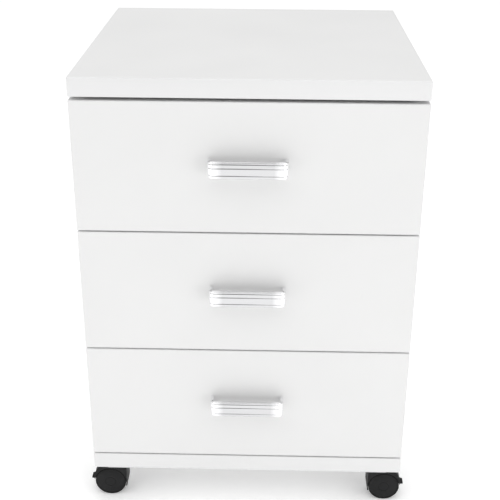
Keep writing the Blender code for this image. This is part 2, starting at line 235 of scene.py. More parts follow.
def block(low: Sequence[float], high: Sequence[float], radius: float, steps: int = 3) -> np.ndarray:
    """Rings of a box with round edges: a sphere's points, each pushed out to the box corner on its own side.

    Args:
        low: Lowest corner.
        high: Highest corner.
        radius: Radius of the edges.
        steps: Steps in each quarter turn of an edge.

    Returns:
        Rings for Form.stack, from the bottom to the top.
    """
    middle, half = (np.array(high) + low) / 2, (np.array(high) - low) / 2 - radius
    corner, turn = corners(steps)
    quarter = np.linspace(0, math.pi / 2, steps + 1)
    rise = np.concatenate([-quarter[::-1], quarter])[:, None]
    up = np.repeat([-1, 1], steps + 1)[:, None]
    ball = np.broadcast_arrays(np.cos(rise) * np.cos(turn), np.cos(rise) * np.sin(turn), np.sin(rise))
    side = np.broadcast_arrays(corner[:, 0], corner[:, 1], up)
    return middle + np.stack(side, axis=-1) * half + radius * np.stack(ball, axis=-1)


def turned(
    profile: Sequence[Sequence[float]], axis: Axis, centre: Sequence[float], segments: int = 64
) -> np.ndarray:
    """Rings of a turned shape: radius r (1 + w cos 4a) and height h for each row (r, h, w) and angle a.

    Args:
        profile: Rows of radius, height and, optionally, the share by which four lobes move the radius.
        axis: The axis that it turns about.
        centre: The point where the height is 0.
        segments: Points round each ring.

    Returns:
        Rings for Form.stack.
    """
    rows = np.asarray(profile, float)
    angles = np.linspace(0, 2 * math.pi, segments, endpoint=False)
    wave = rows[:, 2:3] if rows.shape[1] == 3 else 0.0
    radius = rows[:, :1] * (1 + wave * np.cos(4 * angles))
    height = np.broadcast_to(rows[:, 1:2], radius.shape)
    rings = np.stack([radius * np.cos(angles), radius * np.sin(angles), height], axis=-1)
    return axis.lay(rings) + np.array(centre)


def inset(outline: np.ndarray, distance: float) -> np.ndarray:
    """A closed outline moved inwards: each point along its edges' mean normal, by distance / cos(half turn).

    Args:
        outline: Points in anticlockwise order.
        distance: How far each edge moves in.

    Returns:
        The moved points.
    """
    ahead = np.roll(outline, -1, axis=0) - outline
    ahead /= np.linalg.norm(ahead, axis=1, keepdims=True)
    behind = np.roll(ahead, 1, axis=0)
    normals = np.stack([-ahead[:, 1] - behind[:, 1], ahead[:, 0] + behind[:, 0]], axis=1)
    normals /= np.linalg.norm(normals, axis=1, keepdims=True)
    cosine = normals[:, 1] * ahead[:, 0] - normals[:, 0] * ahead[:, 1]
    return outline + normals * distance / np.maximum(cosine, MITRE)[:, None]


def rims(start: float, end: float, fillet: float, steps: int = 3) -> np.ndarray:
    """Rows of (depth, height) up a side whose two rims are quarter circles.

    Args:
        start: Lowest height.
        end: Highest height.
        fillet: Radius of the quarter circles.
        steps: Steps in each.

    Returns:
        The rows, where a depth is how far the side stands in from the outline.
    """
    angles = np.linspace(0, math.pi / 2, steps + 1)
    depths = fillet * (1 - np.sin(angles))
    rises = fillet * (1 - np.cos(angles))
    lower, upper = np.column_stack([depths, start + rises]), np.column_stack([depths, end - rises])
    return np.concatenate([lower, upper[::-1]])


def prism(outline: np.ndarray, start: float, end: float, fillet: float, axis: Axis = Axis.Y) -> np.ndarray:
    """Rings of an outline carried along an axis, with both rims rounded.

    Args:
        outline: Points of the closed outline, in either order.
        start: Where the shape starts along the axis.
        end: Where it ends.
        fillet: Radius of the two rims.
        axis: The axis that it is carried along.

    Returns:
        Rings for Form.stack.
    """
    ahead = np.roll(outline, -1, axis=0)
    area = np.sum(outline[:, 0] * ahead[:, 1] - outline[:, 1] * ahead[:, 0])
    outline = outline if area > 0 else outline[::-1]
    rows = rims(start, end, fillet)
    count = len(outline)
    rings = [np.column_stack([inset(outline, depth), np.full(count, height)]) for depth, height in rows]
    return axis.lay(np.stack(rings))


def slab(
    low: Sequence[float], high: Sequence[float], corner: float, rows: np.ndarray, axis: Axis, steps: int = 4
) -> np.ndarray:
    """Rings of a flat slab: a round-cornered rectangle, drawn in by each row's depth at each row's height.

    A rectangle drawn in by d has its corner circles at the larger of corner and d from its sides, with radius
    corner - d, or sharp corners where that isn't positive.

    Args:
        low: Lowest corner of the slab.
        high: Highest corner.
        corner: Radius of the corners seen along the axis.
        rows: Rows of (depth, height), with the height measured from the slab's lower face.
        axis: The axis across its thickness.
        steps: Steps round each corner.

    Returns:
        Rings for Form.stack.
    """
    across = list(axis.value)
    low, high = np.array(low)[across], np.array(high)[across]
    middle, half = (low[:2] + high[:2]) / 2, (high[:2] - low[:2]) / 2
    signs, turn = corners(steps)
    depth = rows[:, 0, None, None]
    spots = middle + signs * (half - np.maximum(corner, depth))
    circle = np.maximum(corner - depth, 0) * np.stack([np.cos(turn), np.sin(turn)], axis=-1)
    height = np.broadcast_to(low[2] + rows[:, 1, None, None], (len(rows), len(turn), 1))
    return axis.lay(np.concatenate([spots + circle, height], axis=-1))


# ----------------------------------------------------------------------------------------------------------
# Node graphs


@dataclass(frozen=True)
class Value:
    """A node's output socket, on which shader maths is written as Python expressions."""

    graph: Graph
    socket: bpy.types.NodeSocket

    def __add__(self, other: Value | float) -> Value:
        """The sum."""
        return self.graph.maths("ADD", self, other)

    def __sub__(self, other: Value | float) -> Value:
        """The difference."""
        return self.graph.maths("SUBTRACT", self, other)

    def __rsub__(self, other: float) -> Value:
        """A number less this value."""
        return self.graph.maths("SUBTRACT", other, self)

    def __mul__(self, other: Value | float) -> Value:
        """The product."""
        return self.graph.maths("MULTIPLY", self, other)

    __radd__ = __add__
    __rmul__ = __mul__

    def between(self, low: float, high: float) -> Value:
        """0 below low, 1 above high, and a straight rise between."""
        return self.graph.add("ShaderNodeMapRange", {}, Value=self, From_Min=low, From_Max=high)["Result"]


class Graph:
    """The node tree of one material around a Principled BSDF."""

    def __init__(self, name: str) -> None:
        """Starts a material.

        Args:
            name: The material's name.
        """
        self.material = bpy.data.materials.new(name)
        self.material.use_nodes = True
        self.tree = self.material.node_tree
        self.shader = self.tree.nodes["Principled BSDF"]

    def add(self, kind: str, settings: dict[str, Any], **inputs: Any) -> dict[str, Value]:
        """Adds a node.

        Args:
            kind: The node's type.
            settings: Its properties, which are set first.
            **inputs: A number, a colour or a Value for each input socket, with _ for a space in its name.

        Returns:
            The node's outputs by name.
        """
        node = self.tree.nodes.new(kind)
        for key, value in settings.items():
            setattr(node, key, value)
        for key, value in inputs.items():
            names = (key, key.replace("_", " "))
            sockets = (socket for socket in node.inputs if socket.enabled)
            self.feed(next(s for s in sockets if s.identifier in names or s.name in names), value)
        return {socket.name: Value(self, socket) for socket in node.outputs if socket.enabled}

    def feed(self, socket: bpy.types.NodeSocket, value: Any) -> None:
        """Links a Value to an input socket, or sets the socket to a number or a colour.

        Args:
            socket: The input socket.
            value: What it gets.
        """
        if isinstance(value, Value):
            self.tree.links.new(value.socket, socket)
        else:
            socket.default_value = value

    def maths(self, operation: str, *values: Value | float) -> Value:
        """Adds a Math node.

        Args:
            operation: The node's operation.
            *values: Its inputs, in order.

        Returns:
            Its output.
        """
        node = self.tree.nodes.new("ShaderNodeMath")
        node.operation = operation
        for socket, value in zip(node.inputs, values):
            self.feed(socket, value)
        return Value(self, node.outputs[0])

    def place(self) -> Value:
        """The point on the object, in metres."""
        return self.add("ShaderNodeTexCoord", {})["Object"]

    def coordinate(self, point: Value, axis: str) -> Value:
        """One coordinate of the point."""
        return self.add("ShaderNodeSeparateXYZ", {}, Vector=point)[axis]

    def groove(self) -> Value:
        """How deep in a groove the point lies, from 0 to 1."""
        return self.add("ShaderNodeAttribute", {"attribute_name": "groove"})["Fac"]

    def stretched(self, point: Value, scale: Sequence[float]) -> Value:
        """The point with each coordinate multiplied."""
        settings = {"operation": "MULTIPLY"}
        return self.add("ShaderNodeVectorMath", settings, Vector=point, Vector_001=scale)["Vector"]

    def noise(self, point: Value, scale: float, detail: float = 2.0, rough: float = 0.5) -> Value:
        """Noise between 0 and 1, with about as many grains in a metre as its scale."""
        made = self.add("ShaderNodeTexNoise", {}, Vector=point, Scale=scale, Detail=detail, Roughness=rough)
        return made["Fac"]

    def cells(self, point: Value, scale: float) -> Value:
        """The distance to the nearest of scattered points, in cells."""
        return self.add("ShaderNodeTexVoronoi", {}, Vector=point, Scale=scale)["Distance"]

    def tint(self, share: Value, *colours: Value | Sequence[float]) -> Value:
        """A colour between two, by a share."""
        first, second = (colour if isinstance(colour, Value) else (*colour, 1.0) for colour in colours)
        return self.add("ShaderNodeMix", {"data_type": "RGBA"}, Factor=share, A=first, B=second)["Result"]

    def bump(self, height: Value, distance: float) -> Value:
        """Normals from a height of 0 to 1, which stands for a distance in metres."""
        return self.add("ShaderNodeBump", {}, Height=height, Distance=distance)["Normal"]

    def finish(self, **inputs: Any) -> bpy.types.Material:
        """Feeds the shader's sockets.

        Args:
            **inputs: A number, a colour or a Value for each socket, with _ for a space in its name.

        Returns:
            The material.
        """
        for key, value in inputs.items():
            self.feed(self.shader.inputs[key.replace("_", " ")], value)
        return self.material


# ----------------------------------------------------------------------------------------------------------
# Finishes

Colour = tuple[float, float, float]


def shade(colour: Colour, factor: float) -> Colour:
    """A colour made darker or lighter by a factor."""
    return tuple(factor * channel for channel in colour)


@dataclass(frozen=True)
class Melamine:
    """White melamine facing: a fine pearl grain, and a slow drift in shade and gloss."""

    name: str = "white_melamine"
    colour: Colour = (0.800, 0.800, 0.797)
    roughness: float = 0.42
    pearl: float = 1100.0  # grains in a metre
    pearl_height: float = 0.00002
    pearl_gloss: float = 0.06  # how far the grain moves the roughness
    drift: float = 9.0  # clouds in a metre
    drift_shade: float = 0.985
    drift_gloss: float = 0.10

    def material(self) -> bpy.types.Material:
        """Makes the finish.

        Returns:
            The material.
        """
        graph = Graph(self.name)
        point = graph.place()
        grain = graph.noise(point, self.pearl, 3.0, 0.6)
        cloud = graph.noise(point, self.drift)
        return graph.finish(
            Base_Color=graph.tint(cloud.between(0.3, 0.7), shade(self.colour, self.drift_shade), self.colour),
            Roughness=self.roughness + (cloud - 0.5) * self.drift_gloss + (grain - 0.5) * self.pearl_gloss,
            Normal=graph.bump(grain, self.pearl_height),
        )


@dataclass(frozen=True)
class EdgeBand(Melamine):
    """White plastic edge banding: smoother and a touch glossier than the faces beside it."""

    name: str = "white_edge_band"
    colour: Colour = (0.795, 0.796, 0.796)
    roughness: float = 0.34
    pearl: float = 420.0
    pearl_height: float = 0.000012


@dataclass(frozen=True)
class Cap(Melamine):
    """White moulded plastic: covers over the carcass fittings."""

    name: str = "white_moulded_cap"
    colour: Colour = (0.76, 0.76, 0.75)
    roughness: float = 0.48
    pearl: float = 2600.0
    pearl_height: float = 0.000018


@dataclass(frozen=True)
class Silicone(Melamine):
    """Milky silicone: the door buffers."""

    name: str = "milky_silicone"
    colour: Colour = (0.62, 0.63, 0.62)
    roughness: float = 0.30
    pearl: float = 300.0
    pearl_height: float = 0.00003


@dataclass(frozen=True)
class Hardboard:
    """White lacquer on hardboard, with the board's fibres showing through."""

    name: str = "white_lacquered_hardboard"
    colour: Colour = (0.77, 0.77, 0.76)
    roughness: float = 0.5
    fibres: float = 900.0  # in a metre, across them
    fibre_stretch: tuple[float, float, float] = (1.0, 0.35, 1.0)
    fibre_height: float = 0.00004
    fibre_gloss: float = 0.2
    drift: float = 25.0
    drift_shade: float = 0.96

    def material(self) -> bpy.types.Material:
        """Makes the finish.

        Returns:
            The material.
        """
        graph = Graph(self.name)
        point = graph.place()
        fibre = graph.noise(graph.stretched(point, self.fibre_stretch), self.fibres, 4.0, 0.65)
        cloud = graph.noise(point, self.drift, 3.0)
        return graph.finish(
            Base_Color=graph.tint(cloud, shade(self.colour, self.drift_shade), self.colour),
            Roughness=self.roughness + (fibre - 0.5) * self.fibre_gloss,
            Normal=graph.bump(fibre, self.fibre_height),
        )


@dataclass(frozen=True)
class Chrome:
    """Bright plating: faint polishing lines along the bar, a veil of finger marks, and grooves coloured with
    painted shade.

    The grooves' dark grey colour is painted shade that stands in for the dark reflections in them. It fades
    out along the bar towards +X and at the ends. The grooves are rougher as well. The bar's ends get a
    lighter colour, which is a painted highlight on the bends.
    """

    name: str = "bright_chrome"
    colour: Colour = (0.68, 0.68, 0.69)
    # painted highlight: the lighter colour of the bar's ends, for the bright bends
    painted_end_highlight: Colour = (0.93, 0.93, 0.94)
    # painted shade: the grooves' colour, dark for the reflections in them
    painted_groove_shade: Colour = (0.20, 0.20, 0.21)
    painted_end_highlight_from: tuple[float, float] = (0.029, 0.037)  # where the painted highlight at the ends rises, from the bar's middle
    groove_shade_fade: tuple[float, float] = (-0.010, 0.024)  # where, along the bar, the grooves' painted shade fades out
    groove_shade_faded: float = 0.9  # share of the grooves' painted shade that fades out along the bar
    groove_shade_faded_at_ends: float = 0.7  # and the share that fades out at the bar's ends
    roughness: float = 0.13
    groove_gloss: float = 0.25
    lines: float = 4000.0  # polishing lines in a metre
    line_stretch: tuple[float, float, float] = (0.04, 1.0, 1.0)
    line_shade: float = 0.15
    line_gloss: float = 0.03
    line_height: float = 0.000004
    veil: float = 60.0  # finger marks in a metre
    veil_gloss: float = 0.07

    def material(self) -> bpy.types.Material:
        """Makes the finish.

        Returns:
            The material.
        """
        graph = Graph(self.name)
        point = graph.place()
        along = graph.coordinate(point, "X")
        # painted highlight: 1 at the bar's ends, which get the lighter colour
        ends = graph.maths("ABSOLUTE", along).between(*self.painted_end_highlight_from)
        # painted shade: how much of the grooves' dark colour is kept, fading out along the bar towards +X
        left = 1.0 - self.groove_shade_faded * along.between(*self.groove_shade_fade)
        # painted shade mask: groove depth times the share kept along the bar and at the ends; it also raises
        # the roughness
        groove = graph.groove() * left * (1.0 - self.groove_shade_faded_at_ends * ends)
        lines = graph.noise(graph.stretched(point, self.line_stretch), self.lines)
        veil = graph.noise(point, self.veil, 4.0, 0.6).between(0.45, 0.75)
        # the plating's colour, with the painted highlight at the ends
        plate = graph.tint(ends, self.colour, self.painted_end_highlight)
        marks = veil * self.veil_gloss + (lines - 0.5) * self.line_gloss
        return graph.finish(
            Base_Color=graph.tint(groove * (1 - self.line_shade + self.line_shade * lines), plate, self.painted_groove_shade),
            Metallic=1.0,
            Roughness=self.roughness + marks + groove * self.groove_gloss,
            Normal=graph.bump(lines, self.line_height),
        )


@dataclass(frozen=True)
class Zinc:
    """Zinc-plated sheet steel: rolling lines along Y and a mottled plate."""

    name: str = "zinc_plated_steel"
    colour: Colour = (0.60, 0.61, 0.63)
    roughness: float = 0.34
    lines: float = 2500.0  # rolling lines in a metre
    line_stretch: tuple[float, float, float] = (1.0, 0.03, 1.0)
    line_gloss: float = 0.12
    line_height: float = 0.000015
    mottle: float = 180.0  # spots in a metre
    mottle_shade: float = 0.8
    mottle_gloss: float = 0.15

    def material(self) -> bpy.types.Material:
        """Makes the finish.

        Returns:
            The material.
        """
        graph = Graph(self.name)
        point = graph.place()
        rolled = graph.noise(graph.stretched(point, self.line_stretch), self.lines, 3.0)
        mottle = graph.noise(point, self.mottle, 3.0, 0.6)
        dark = shade(self.colour, self.mottle_shade)
        return graph.finish(
            Base_Color=graph.tint(mottle.between(0.3, 0.7), dark, self.colour),
            Metallic=1.0,
            Roughness=self.roughness + (mottle - 0.5) * self.mottle_gloss + (rolled - 0.5) * self.line_gloss,
            Normal=graph.bump(rolled, self.line_height),
        )


@dataclass(frozen=True)
class Nylon:
    """Black moulded plastic with a fine spark-eroded grain."""

    name: str = "black_nylon"
    colour: Colour = (0.0068, 0.0068, 0.0072)
    lighter: float = 1.4
    roughness: float = 0.48
    grain: float = 2200.0  # grains in a metre
    grain_height: float = 0.00002
    grain_gloss: float = 0.10
    pit_share: float = 0.4  # of the height
    drift: float = 70.0
    drift_gloss: float = 0.12
    specular: float = 0.24

    def material(self) -> bpy.types.Material:
        """Makes the finish.

        Returns:
            The material.
        """
        graph = Graph(self.name)
        point = graph.place()
        grain = graph.noise(point, self.grain, 2.0, 0.6)
        pits = graph.cells(point, self.grain / 2)
        cloud = graph.noise(point, self.drift, 3.0)
        return graph.finish(
            Base_Color=graph.tint(cloud.between(0.4, 0.8), self.colour, shade(self.colour, self.lighter)),
            Roughness=self.roughness + (cloud - 0.5) * self.drift_gloss + (grain - 0.5) * self.grain_gloss,
            Specular_IOR_Level=self.specular,
            Normal=graph.bump(grain * (1 - self.pit_share) + pits * self.pit_share, self.grain_height),
        )


@dataclass(frozen=True)
class Tread(Nylon):
    """A wheel's running face: the same plastic, duller, with dust where it has rolled."""

    name: str = "dusty_black_tread"
    colour: Colour = (0.009, 0.009, 0.009)
    lighter: float = 2.4
    roughness: float = 0.62
    grain: float = 1500.0
    specular: float = 0.2


@dataclass(frozen=True)
class Palette:
    """Every finish as a material, made once."""

    board: bpy.types.Material
    band: bpy.types.Material
    cap: bpy.types.Material
    silicone: bpy.types.Material
    hardboard: bpy.types.Material
    chrome: bpy.types.Material
    zinc: bpy.types.Material
    nylon: bpy.types.Material
    tread: bpy.types.Material

    @classmethod
    def made(cls) -> Palette:
        """The palette with each finish at its own values."""
        kinds = (Melamine, EdgeBand, Cap, Silicone, Hardboard, Chrome, Zinc, Nylon, Tread)
        return cls(*(kind().material() for kind in kinds))

    def dress(self, frame: dict[str, Any]) -> None:
        """Gives each node of the frame the finish of its slot.
        """
        finishes = {
            Slot.BOARD.value: self.board,
            Slot.HARDBOARD.value: self.hardboard,
            Slot.ZINC.value: self.zinc,
            Slot.CHROME.value: self.chrome,
            Slot.NYLON.value: self.nylon,
        }
        for row in frame["record"]["subparts"]:
            materials = frame["nodes"][row["node"]].data.materials
            materials.clear()
            materials.append(finishes[row["material_slot"]])
        LOG.info("dressed %d nodes of the frame", len(frame["nodes"]))


# ----------------------------------------------------------------------------------------------------------
# Pieces


@dataclass(frozen=True)
class Bench:
    """Where pieces are made: the frame around them and the finishes that they take."""

    frame: dict[str, Any]
    palette: Palette

    def piece(
        self,
        name: str,
        form: Form,
        materials: Sequence[bpy.types.Material],
        body: str,
        slot: Slot,
        replaces: Iterable[str] = (),
    ) -> None:
        """Makes one visible piece at the origin, with its place in its mesh.

        Args:
            name: The piece's name.
            form: Its surfaces.
            materials: Its finishes, in the order of the form's material indices.
            body: The body that it rides on.
            slot: The record's slot that its finish belongs to; not used.
            replaces: Nodes of the frame that it stands for.
        """
        piece = bpy.data.objects.new(name, form.mesh(name))
        bpy.context.scene.collection.objects.link(piece)
        for material in materials:
            piece.data.materials.append(material)
        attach(piece, body)
        if replaces:
            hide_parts(*replaces)
        LOG.info("%s: %d faces on %s", name, len(piece.data.polygons), body)


@dataclass(frozen=True)
class Screw:
    """A round-headed cross-recess screw, of which only the head shows."""

    radius: float = 0.0036
    height: float = 0.0015
    dome: tuple[tuple[float, float], ...] = (  # shares of the radius and of the height, as for the cross
        (1.0, 0.0), (1.0, 0.35), (0.94, 0.62), (0.78, 0.86), (0.56, 1.0)
    )
    cross: tuple[tuple[float, float], ...] = ((0.34, 1.0), (0.24, 0.35))
    cross_floor: float = 0.3
    lobes: float = 0.45  # how far the cross reaches out and in, as a share of its radius
    segments: int = 24

    def head(self, at: Sequence[float], axis: Axis, towards: int) -> np.ndarray:
        """The head's surface: a low dome with a four-lobed hollow.

        Args:
            at: The middle of its seat.
            axis: The axis that the screw lies along.
            towards: 1 where the head stands out along the axis, and -1 where it stands out the other way.

        Returns:
            Rings for Form.stack.
        """
        dome = [(*row, 0.0) for row in ((0.0, 0.0), *self.dome)]
        cross = [(*row, self.lobes) for row in self.cross]
        rows = np.array([*dome, *cross, (0.0, self.cross_floor, 0.0)])
        return turned(rows * (self.radius, self.height * towards, 1.0), axis, at, self.segments)


@dataclass(frozen=True)
class BoardSet:
    """The boards that show: flat faces, banded edges and a hairline joint between them."""

    arris: float = 0.0010
    joint_in: float = 0.0013  # from the edge to the hairline joint
    joint_half: float = 0.00007
    joint_depth: float = 0.00006
    thin: tuple[tuple[str, Axis], ...] = (
        ("top_panel", Axis.Z),
        ("bottom_panel", Axis.Z),
        ("side_panel_left", Axis.X),
        ("side_panel_right", Axis.X),
        ("lower_drawer_front", Axis.Y),
        ("middle_drawer_front", Axis.Y),
        ("upper_drawer_front", Axis.Y),
    )

    def form(self, node: str, axis: Axis) -> Form:
        """One board: its outline drawn in at the hairline joint, over the arris, and down the band.

        Args:
            node: The frame's node.
            axis: The axis across its thickness.

        Returns:
            The board's surface, with 0 for the faces and 1 for the band.
        """
        low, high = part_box(node)
        thickness = high[axis.value[2]] - low[axis.value[2]]
        joint = [
            (self.joint_in + self.joint_half, 0.0),
            (self.joint_in, self.joint_depth),
            (self.joint_in - self.joint_half, 0.0),
        ]
        upper = [(depth, thickness - height) for depth, height in reversed(joint)]
        rows = np.concatenate([joint, rims(0.0, thickness, self.arris, 4), upper])
        finishes = np.ones(len(rows) - 1, int)
        finishes[[0, -1]] = 0
        return Form().stack(slab(low, high, self.arris, rows, axis), finishes)

    def build(self, bench: Bench) -> None:
        """Makes each board in the place of its node.

        Args:
            bench: Where it is made.
        """
        finishes = (bench.palette.board, bench.palette.band)
        for node, axis in self.thin:
            body = bench.frame["nodes"][node]["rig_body"]
            bench.piece(f"{node}_board", self.form(node, axis), finishes, body, Slot.BOARD, [node])


@dataclass(frozen=True)
class Carcass:
    """Fittings on the carcass: caps over the cams that draw the side panels to the top and the bottom."""

    cap_radius: float = 0.0085
    cap_height: float = 0.0010
    cap_from_front: float = 0.045
    cap_from_rear: float = 0.050
    cap_from_end: float = 0.018

    def caps(self) -> Form:
        """Low domes on the side panels' inner faces, two near the top and two near the bottom of each.

        Returns:
            The caps.
        """
        form = Form()
        for hand, sign in HANDS.items():
            low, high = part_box(f"side_panel_{hand}")
            inner = low.x if sign > 0 else high.x
            dome = arc((0.0, 0.0), (self.cap_radius, self.cap_height), 0, 90, 6)
            rows = [(0.0, 0.0)] + [(radius, -sign * height) for radius, height in dome]
            for y in (low.y + self.cap_from_front, high.y - self.cap_from_rear):
                for z in (low.z + self.cap_from_end, high.z - self.cap_from_end):
                    form.stack(turned(rows, Axis.X, (inner, y, z), 40))
        return form

    def build(self, bench: Bench) -> None:
        """Makes the caps."""
        bench.piece("cam_caps", self.caps(), [bench.palette.cap], "cabinet", Slot.BOARD)


@dataclass(frozen=True)
class Handle:
    """A bow handle: a crowned strap with grooves along its bar, narrowing round each bend to its foot."""

    strap: float = 0.005
    crown: float = 0.0006
    bend: float = 0.0045  # radius of the strap's middle line
    foot_height: float = 0.016
    end_round: float = 0.0048  # how far from its end the bar starts to narrow
    edge: float = 0.0009
    hollow: float = 0.0006
    groove_at: tuple[float, ...] = (0.742, 0.262, -0.600)  # shares of half the bar's height
    groove_half: float = 0.075
    groove_depth: float = 0.00025
    groove_end: tuple[float, float] = (0.75, 1.05)  # how far round a bend a groove fades out, in radians
    bar_steps: int = 24
    bend_steps: int = 24
    face_steps: int = 110

    def path(self, low: Vector, high: Vector) -> np.ndarray:
        """The strap's middle line in plan: a straight bar, two quarter bends and two legs back to the drawer.

        Args:
            low: Lowest corner of the handle.
            high: Highest corner.

        Returns:
            Rows of x, y, the outward normal's x and y, and how far the point is round its bend, in radians.
        """
        side = (high.x - low.x - self.strap) / 2
        front, foot = low.y + self.strap / 2, high.y
        turn = np.linspace(0, math.pi / 2, self.bend_steps + 1)
        corner = side - self.bend
        bar = np.linspace(0, corner, self.bar_steps, endpoint=False)
        x = np.concatenate([bar, corner + self.bend * np.sin(turn), [side, side]])
        legs = front + self.bend + (foot - front - self.bend) * np.array([0.5, 1.0])
        y = np.concatenate([np.full(len(bar), front), front + self.bend * (1 - np.cos(turn)), legs])
        around = np.concatenate([np.zeros(len(bar)), turn, [math.pi / 2] * 2])
        half = np.column_stack([x, y, np.sin(around), -np.cos(around), around])
        other = half[:0:-1] * np.array([-1, 1, -1, 1, 1])
        return np.concatenate([other, half]) + np.array([(low.x + high.x) / 2, 0, 0, 0, 0])

    def cut(self, share: np.ndarray, around: np.ndarray) -> np.ndarray:
        """How deep in a groove each point of the face lies: a raised cosine across it, faded round the bends.

        Args:
            share: Heights on the face, as shares of half the bar's height.
            around: How far each point of the path is round its bend, in radians.

        Returns:
            Depths from 0 to 1, of shape (path, face).
        """
        away = np.abs(share[:, None] - np.array(self.groove_at)) / self.groove_half
        cut = np.where(away < 1, (1 + np.cos(math.pi * away)) / 2, 0).sum(axis=1)
        start, end = self.groove_end
        kept = np.clip((end - around) / (end - start), 0, 1)
        return cut * (kept**2 * (3 - 2 * kept))[:, None]

    def form(self, node: str) -> Form:
        """The handle's surface in the place of a node of the frame.

        At each point of the path the section's face falls back with the square of its height, less its
        grooves, its back is slightly hollow, and its edges are quarter circles. The section's height shrinks
        round the last of each bend along a quarter circle.

        Args:
            node: The frame's node.

        Returns:
            The surface.
        """
        low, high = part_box(node)
        x, y, normal_x, normal_y, around = self.path(low, high).T
        reach = self.bend + self.strap / 2
        rounding = np.clip(1 - reach * (1 - np.sin(around)) / self.end_round, 0, 1)
        full = high.z - low.z
        height = full - (full - self.foot_height) * (1 - np.sqrt(1 - rounding**2))
        face, back = np.linspace(-1, 1, self.face_steps), np.linspace(1, -1, self.face_steps // 4)
        cut = self.cut(face, around)
        front = self.strap / 2 - self.crown * face**2 - self.groove_depth * cut
        rear = np.broadcast_to(self.hollow * (1 - back**2) - self.strap / 2, (len(around), len(back)))
        share, out = np.concatenate([face, back]), np.hstack([front, rear])
        near_edge = np.clip(1 - (1 - np.abs(share)) * height[:, None] / 2 / self.edge, 0, 1)
        out = out - np.sign(out) * self.edge * (1 - np.sqrt(1 - near_edge**2))
        rings = np.stack([
            x[:, None] + normal_x[:, None] * out,
            y[:, None] + normal_y[:, None] * out,
            (low.z + high.z) / 2 + share * height[:, None] / 2,
        ], axis=-1)
        return Form().stack(rings, grooves=np.hstack([cut, np.zeros_like(rear)]))


@dataclass(frozen=True)
class Drawer:
    """One drawer's handle, screws and buffers."""

    name: str
    handle: Handle = Handle()
    screw: Screw = Screw(0.0042, 0.0018)
    joint_screw: Screw = Screw(0.0034, 0.0004)
    joint_from_ends: tuple[float, float] = (0.012, 0.016)  # from the box side's lower and upper edge
    buffer_radius: float = 0.0040
    buffer_height: float = 0.0008
    buffer_in: tuple[float, float] = (0.0075, 0.012)  # from the front's sides and ends

    def handle_screws(self) -> Form:
        """The two screw heads inside the front that hold the handle.

        Returns:
            The heads.
        """
        low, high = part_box(f"{self.name}_handle")
        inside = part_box(f"{self.name}_drawer_front")[1].y
        form = Form()
        for x in (low.x + self.handle.strap / 2, high.x - self.handle.strap / 2):
            form.stack(self.screw.head((x, inside, (low.z + high.z) / 2), Axis.Y, 1))
        return form

    def joint_screws(self) -> Form:
        """Flat heads in the box sides, two into each end of the box's back.

        Returns:
            The heads.
        """
        low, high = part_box(f"{self.name}_drawer_back")
        form = Form()
        for hand, sign in HANDS.items():
            side_low, side_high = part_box(f"{self.name}_drawer_side_{hand}")
            outer = side_high.x if sign > 0 else side_low.x
            for z in (side_low.z + self.joint_from_ends[0], side_high.z - self.joint_from_ends[1]):
                form.stack(self.joint_screw.head((outer, (low.y + high.y) / 2, z), Axis.X, sign))
        return form

    def buffers(self) -> Form:
        """Domed discs at the four corners of the front's inner face.

        Returns:
            The buffers.
        """
        low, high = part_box(f"{self.name}_drawer_front")
        dome = arc((self.buffer_radius / 2, 0.0), (self.buffer_radius / 2, self.buffer_height), 0, 90, 5)
        form = Form()
        for x in (low.x + self.buffer_in[0], high.x - self.buffer_in[0]):
            for z in (low.z + self.buffer_in[1], high.z - self.buffer_in[1]):
                form.stack(turned([(0.0, 0.0), *dome, (0.0, self.buffer_height)], Axis.Y, (x, high.y, z), 32))
        return form

    def build(self, bench: Bench) -> None:
        """Makes the drawer's own pieces.

        Args:
            bench: Where they are made.
        """
        name, body, finishes = self.name, f"{self.name}_drawer", bench.palette
        node = f"{name}_handle"
        form = self.handle.form(node)
        bench.piece(f"{name}_ribbed_handle", form, [finishes.chrome], body, Slot.CHROME, [node])
        bench.piece(f"{name}_handle_screws", self.handle_screws(), [finishes.zinc], body, Slot.ZINC)
        bench.piece(f"{name}_joint_screws", self.joint_screws(), [finishes.zinc], body, Slot.ZINC)
        bench.piece(f"{name}_buffers", self.buffers(), [finishes.silicone], body, Slot.BOARD)


